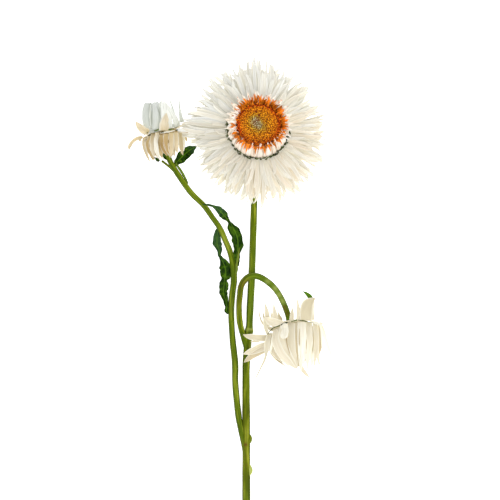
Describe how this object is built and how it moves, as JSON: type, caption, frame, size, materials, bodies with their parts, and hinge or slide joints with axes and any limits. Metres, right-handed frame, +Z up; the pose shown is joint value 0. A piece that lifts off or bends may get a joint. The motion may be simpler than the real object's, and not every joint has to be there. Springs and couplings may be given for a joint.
{
  "type": "strawflower stem",
  "caption": "Cut branching strawflower stem with an open white bloom, an orange disc, side blooms and leaves, lying flat for display.",
  "frame": {"origin": "middle of the base of the flower's box, on the surface it lies on", "axes": "+Y along the stem from its cut end to the open bloom, +X across the flower to the nodding bloom's side, +Z up from the surface"},
  "size_m": [0.0865, 0.1977, 0.0294],
  "materials": {
    "green_stem": "ribbed, satin",
    "white_bract": "papery, thin and slightly glossy",
    "collar_bract": "papery, white at the foot and orange at the tips",
    "cream_bract": "papery, matt",
    "orange_floret": "matt, powdery",
    "straw_scale": "dry, matt",
    "green_leaf": "crinkled, satin"
  },
  "bodies": {
    "root": {"stem": "green_stem", "main_bloom_rays": "white_bract", "main_bloom_collar": "collar_bract", "main_bloom_disc": "orange_floret", "main_bloom_receptacle": "straw_scale", "left_bloom_white_bracts": "white_bract", "left_bloom_cream_bracts": "cream_bract", "nodding_bloom_hanging_bracts": "cream_bract", "nodding_bloom_folded_bracts": "cream_bract", "right_leaf": "green_leaf", "left_leaf": "green_leaf", "small_leaf": "green_leaf", "calyx_leaf": "green_leaf"}
  },
  "joints": []
}
